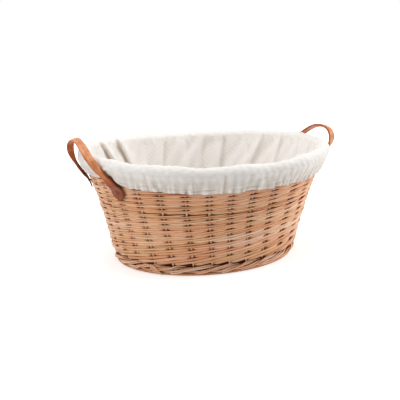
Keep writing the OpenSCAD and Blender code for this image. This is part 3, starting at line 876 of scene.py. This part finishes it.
def leather(name):
    """Tan leather with dark rims, a grooved seam near each edge and a darker line down the middle.
    across and face run from -1 to 1 over the strap's width and thickness."""
    m, n, bsdf = shader(name, Specular_IOR_Level=0.22)
    place = n.place()
    grain = n.noise(place, scale=900.0, detail=3.0)
    blotch = n.noise(place, scale=55.0, detail=4.0)
    edge = n.calc("ABSOLUTE", n.attribute("across"))
    rim_dark = n.calc("MAXIMUM", n.calc("MULTIPLY_ADD", edge, 6.0, -4.9), 0.0)
    rim_dark = n.calc("SMOOTH_MIN", rim_dark, 1.0, 0.2)
    middle = n.calc("MAXIMUM", n.calc("MULTIPLY_ADD", edge, -7.0, 1.0), 0.0)
    toned = n.calc("MULTIPLY_ADD", n.attribute("face"), 0.12, n.attribute("tint"))
    f = n.total(n.about_zero(blotch, 0.7), toned)
    f = n.calc("SUBTRACT", f, n.calc("MULTIPLY", rim_dark, 0.22))
    f = n.calc("SUBTRACT", f, n.calc("MULTIPLY", middle, 0.16))
    tan = n.ramp(f, [(0.0, (0.11, 0.020, 0.004)), (0.35, (0.34, 0.074, 0.016)), (0.6, (0.54, 0.172, 0.056)),
                     (1.0, (0.84, 0.440, 0.225))])
    n.link(tan, bsdf["Base Color"])
    n.link(n.calc("MULTIPLY_ADD", grain, 0.25, 0.30), bsdf["Roughness"])
    seam = n.calc("ABSOLUTE", n.calc("SUBTRACT", edge, 0.78))
    grained = n.bump(grain, distance=0.0003, strength=0.5)
    n.link(n.bump(seam, distance=0.0012, strength=0.6, over=grained), bsdf["Normal"])
    return m


strap_leather = leather("leather")
# The strap's half width and half thickness in the arch, and its half thickness at a tab
HALF_W, HALF_T, TAB_HALF_T = 0.0090, 0.0036, 0.0015
# The rivets' height, and how far out from the wall's middle the tabs lie
RIVET_Z, TAB_OFF = 0.190, 0.0104
# A tab's round end, and the length over which it narrows to the strap
TAB_R, NECK = 0.0178, 0.054
# A tab's middle line: heights from the rivet, and how far it lifts off the wall there
TAB_LINE = [(-0.0160, 0), (-0.006, 0), (0.0, 0), (0.006, 0.0006), (0.0110, 0.0028)]
# The arch's feet, and its top for the left (-1) and the right (1) handle
FOOT_Z, FOOT_OFF = 0.208, 0.01645
ARCH_TOP, ARCH_BULGE = 0.2975, 0.0070
ARCH_OUT = {-1: 0.0175, 1: 0.0170}
ARCH_Y = {-1: -0.0150, 1: -0.0040}
# The legs go round the roll of cloth: least distance from the strap's middle to the rim's middle, and
# how much of the way round is along the wall's end rather than straight out. The strap's inner edge
# still cuts up to 4 mm into the roll
ROLL_CLEAR = 0.0200
ALONG_WALL = {-1: 3.0, 1: 0.7}
# The legs pass the roll where the sine of the arch's angle is between these
LEG_LOW, LEG_HIGH = 0.3, 0.9
# The tabs bend to the wall, whose end has about this radius. The bend runs out above them
WALL_BEND, BEND_END, BEND_OUT = 0.19, 0.036, 0.03
# Distances from the strap's ends: where it starts to turn edge-out and how long that takes
EDGE_FROM, EDGE_OVER = 0.062, 0.055
# The ends are darker: tone of the arch, how much darker they are, and how far that reaches
STRAP_TONE, END_DARKER, END_DARKER_TO, END_DARKER_OVER = 0.64, 0.50, 0.095, 0.065
# Its thickness grows from the tabs on: where from, and over what length. Its tips are thinner
THICK_FROM, THICK_OVER, TIP_SHARE, TIP_OVER = 0.020, 0.02, 0.55, 0.004
# How round its section's corners are, across and through it: 0 is a rectangle, 1 an ellipse
ROUND_ACROSS, ROUND_FACE = 0.50, 0.62
# Points round the strap
STRAP_SIDES = 28


def clear_of_roll(arch, c, s, sx):
    """Moves an arch's legs out of the roll of cloth. c and s are the cosine and sine of the arch's
    angle at its points, from the front foot over the top to the back one."""
    core = wall(np.linspace(0, TURN, 1440), RIM_Z)[0]
    for leg, way in ((c > 0, -1), (c < 0, 1)):
        for _ in range(4):
            gaps = arch[:, None] - core
            near = gaps[np.arange(len(arch)), np.argmin((gaps ** 2).sum(2), axis=1)]
            far = np.linalg.norm(near, axis=1)
            short = np.where(leg & (s > LEG_LOW) & (s < LEG_HIGH), ROLL_CLEAR - far, 0)
            i = np.argmax(short)
            out = near[i] / far[i]
            go = out + np.array([0, ALONG_WALL[sx] * way, 0])
            share = leg * (s * c) ** 2 / (s[i] * c[i]) ** 2
            arch = arch + go * short[i] / (go @ out) * share[:, None]
    return arch


def even_run(points):
    """A smooth path through points in even steps, finer at its two ends, and each step's distance
    along them."""
    d = np.concatenate([[0], np.cumsum(np.linalg.norm(np.diff(points, axis=0), axis=1))])
    total = d[-1]
    tip = TAB_R + 0.001
    run = np.unique(np.concatenate([np.linspace(0, tip, 16), np.linspace(tip, total - tip, 170),
                                    np.linspace(total - tip, total, 16)]))
    kernel = np.hanning(13)[1:-1]
    kernel /= kernel.sum()
    path = [np.interp(run, d, points[:, k]) for k in range(3)]
    path = [np.convolve(np.pad(x, 5, "reflect", reflect_type="odd"), kernel, "valid") for x in path]
    return np.stack(path, -1), run


def handle(name, sx, nodes):
    """One strap with its two tabs, at the end sx of the basket."""
    ys = [y for _, y in LEGS["left" if sx < 0 else "right"]]
    f, b = [wall(leg_angle(sx, y, FOOT_Z), FOOT_Z, FOOT_OFF)[0] for y in ys]
    apex = np.array([sx * (RIM[0] + ARCH_OUT[sx]), ARCH_Y[sx], ARCH_TOP])
    m = (f + b) / 2
    t = np.radians(np.linspace(4, 176, 41))
    c, s = np.cos(t), np.sin(t)
    arch = (m + (f - m) * c[:, None] + (apex - m) * s[:, None]
            + np.array([sx * ARCH_BULGE, 0, 0]) * (4 * s * (1 - s))[:, None])
    arch = clear_of_roll(arch, c, s, sx)
    angles = [leg_angle(sx, y, RIVET_Z) for y in ys]
    front, back = [[wall(a, RIVET_Z + dz, TAB_OFF + lift)[0] for dz, lift in TAB_LINE] for a in angles]
    points = np.array([*front, f, *arch, b, *back[::-1]])
    if sx > 0:
        points, angles = points[::-1], angles[::-1]
    path, run = even_run(points)
    total = run[-1]
    from_end = np.minimum(run, total - run)
    first_half = (run < total / 2)[:, None]
    along = unit(np.gradient(path, run, axis=0))

    def square(v):
        """v turned to stand square to the path."""
        return unit(v - (v * along).sum(1, keepdims=True) * along)

    # the strap lies flat to the wall at its feet and turns edge-out towards the top
    plane = unit(np.cross(b - f, apex - f))
    if plane[0] * sx < 0:
        plane = -plane
    normals = [wall(a, RIVET_Z)[1] for a in angles]
    flat = [np.array([-n[1], n[0], 0]) for n in normals]
    wide_end = square(np.where(first_half, *[v if v @ plane > 0 else -v for v in flat]))
    wide_arch = square(plane)
    th = np.arctan2((np.cross(wide_end, wide_arch) * along).sum(1), (wide_end * wide_arch).sum(1))
    th = (th * smooth((from_end - EDGE_FROM) / EDGE_OVER))[:, None]
    wide = wide_end * np.cos(th) + np.cross(along, wide_end) * np.sin(th)
    thin = np.cross(along, wide)

    # half width and half thickness along it
    w = np.where(from_end < TAB_R, np.sqrt(np.maximum(TAB_R ** 2 - (TAB_R - from_end) ** 2, 1e-9)),
                 TAB_R + (HALF_W - TAB_R) * smooth((from_end - TAB_R) / NECK))
    h = TAB_HALF_T + (HALF_T - TAB_HALF_T) * smooth((from_end - THICK_FROM) / THICK_OVER)
    h = h * np.minimum(1, TIP_SHARE + from_end / TIP_OVER)
    ph = TURN * np.arange(STRAP_SIDES) / STRAP_SIDES
    across = np.sign(np.cos(ph)) * np.abs(np.cos(ph)) ** ROUND_ACROSS
    face = np.sign(np.sin(ph)) * np.abs(np.sin(ph)) ** ROUND_FACE
    grid = (path[:, None] + (w[:, None] * across)[..., None] * wide[:, None]
            + (h[:, None] * face)[..., None] * thin[:, None])
    bent = 1 - smooth((from_end - BEND_END) / BEND_OUT)
    sag = (w[:, None] * across) ** 2 / (2 * WALL_BEND) * bent[:, None]
    grid = grid - sag[..., None] * np.where(first_half, *normals)[:, None]
    strap = Parts()
    strap.add(grid[:, ::-1], False, (run, np.linspace(0, 1, STRAP_SIDES)),
              tint=STRAP_TONE - END_DARKER * smooth((END_DARKER_TO - from_end) / END_DARKER_OVER),
              across=across[::-1] + np.zeros((len(run), 1)), face=face[::-1] + np.zeros((len(run), 1)))
    o = strap.object(name, strap_leather)
    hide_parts(*nodes)
    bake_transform(o)
    return o


handle("left_handle", -1, ["left_handle_strap", "left_front_tab", "left_back_tab"])
handle("right_handle", 1, ["right_handle_strap", "right_front_tab", "right_back_tab"])

# ---- Rivets and washers ------------------------------

# Radius, and height above a tab's face: a low dished head, a shank, and the peened end inside
RIVET = [(0.0, 0.0008), (0.0010, 0.0008), (0.0018, 0.0012), (0.0027, 0.0014), (0.0035, 0.0011),
         (0.0039, 0.0005), (0.0040, -0.0002), (0.0030, -0.0004), (0.0015, -0.0004), (0.0015, -0.0215),
         (0.0026, -0.0218), (0.0026, -0.0226), (0.0012, -0.0232), (0.0, -0.0233)]
RIVET_SIDES = 28


def metal(name, stops, scale, metallic, roughness):
    """Metal whose colour varies a little from place to place."""
    m, n, bsdf = shader(name, Metallic=metallic, Roughness=roughness)
    n.link(n.ramp(n.noise(n.place(), scale=scale, detail=3.0), stops), bsdf["Base Color"])
    return m


antique = metal("antique_rivet", [(0.3, (0.07, 0.030, 0.014)), (0.7, (0.17, 0.085, 0.04))],
                scale=700.0, metallic=0.8, roughness=0.42)
steel = metal("washer_steel", [(0.3, (0.42, 0.42, 0.41)), (0.7, (0.60, 0.60, 0.58))],
              scale=400.0, metallic=1.0, roughness=0.38)

studs = Parts()
th = TURN * np.arange(RIVET_SIDES) / RIVET_SIDES
for sx, y in [leg for pair in LEGS.values() for leg in pair]:
    a = leg_angle(sx, y, RIVET_Z)
    p, n = wall(a, RIVET_Z, TAB_OFF + TAB_HALF_T + 0.0001)
    # square to the wall, which leans out
    level = np.array([-n[1], n[0], 0])
    out = unit(np.cross(level, wall(a, RIVET_Z + 0.005)[0] - wall(a, RIVET_Z - 0.005)[0]))
    if out @ n < 0:
        out = -out
    up = np.cross(out, level)
    grid = np.array([[p + radius * (math.cos(x) * level + math.sin(x) * up) + height * out for x in th[::-1]]
                     for radius, height in RIVET])
    studs.add(grid, False, (np.arange(len(RIVET)) * 0.001, th), tint=0.5)
rivets = studs.object("rivets", antique)
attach(rivets, "basket")
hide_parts("handle_rivets")

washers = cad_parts["rivet_washers"]
washers.data.materials.clear()
washers.data.materials.append(steel)

# ---- Floor, light and camera -------------------------

sc = bpy.context.scene
sc.view_settings.view_transform = "Standard"


def is_seen(n):
    """1 for camera, glossy and transmission rays."""
    rays = n.new("ShaderNodeLightPath").outputs
    seen = n.calc("MAXIMUM", rays["Is Camera Ray"], rays["Is Glossy Ray"])
    return n.calc("MAXIMUM", seen, rays["Is Transmission Ray"])


# The floor glows a little for the camera, and more from FAR_FROM metres out, so that it turns white
FLOOR_HALF = 9
NEAR_GLOW, FAR_GLOW, FAR_FROM, FAR_RISE = 0.52, 0.8, 0.45, 0.8
me = bpy.data.meshes.new("floor")
me.from_pydata([(x * FLOOR_HALF, y * FLOOR_HALF, 0) for x, y in [(-1, -1), (1, -1), (1, 1), (-1, 1)]],
               [], [(0, 1, 2, 3)])
floor = bpy.data.objects.new("floor", me)
sc.collection.objects.link(floor)
m, n, bsdf = shader("floor_white", Base_Color=(0.86, 0.86, 0.86, 1), Roughness=1.0, Specular_IOR_Level=0.0,
                    Emission_Color=(1, 1, 1, 1))
away = n.new("ShaderNodeVectorMath")
away.operation = "LENGTH"
n.link(n.place(), away.inputs[0])
far = n.calc("MULTIPLY", n.calc("SUBTRACT", away.outputs["Value"], FAR_FROM), FAR_RISE)
far = n.calc("MINIMUM", n.calc("MAXIMUM", far, 0.0), FAR_GLOW)
n.link(n.calc("MULTIPLY", is_seen(n), n.calc("ADD", far, NEAR_GLOW)), bsdf["Emission Strength"])
me.materials.append(m)

# The surroundings are white to the camera and light the part with this share of it
FILL = 0.40
w = bpy.data.worlds.new("studio")
sc.world = w
w.use_nodes = True
n = Nodes(w.node_tree)
background = w.node_tree.nodes["Background"].inputs
background["Color"].default_value = (1, 1, 1, 1)
n.link(n.calc("MULTIPLY_ADD", is_seen(n), 1 - FILL, FILL), background["Strength"])


def look(o, where, at):
    """Puts a lamp or camera somewhere and points it at a spot."""
    o.location = where
    o.rotation_euler = (Vector(at) - Vector(where)).to_track_quat("-Z", "Y").to_euler()
    sc.collection.objects.link(o)


def lamp(name, where, at, size, power):
    d = bpy.data.lights.new(name, "AREA")
    d.shape = "RECTANGLE"
    d.size, d.size_y = size
    d.energy = power
    look(bpy.data.objects.new(name, d), where, at)


lamp("top", (-0.2, 0.15, 1.9), (0, 0, 0.15), (1.6, 1.4), 21)
lamp("left", (-2.0, -0.55, 1.0), (-0.1, 0, 0.12), (0.9, 1.3), 12.5)
lamp("right", (2.0, -0.35, 0.9), (0.1, 0, 0.12), (0.9, 1.3), 23.5)

cam = bpy.data.cameras.new("camera")
cam.lens = 62.7
cam.sensor_width = 36
cam.shift_x, cam.shift_y = -0.0136, -0.0010
sc.camera = bpy.data.objects.new("camera", cam)
look(sc.camera, (-0.5033, -1.5602, 0.5802), (0, 0, 0.130))
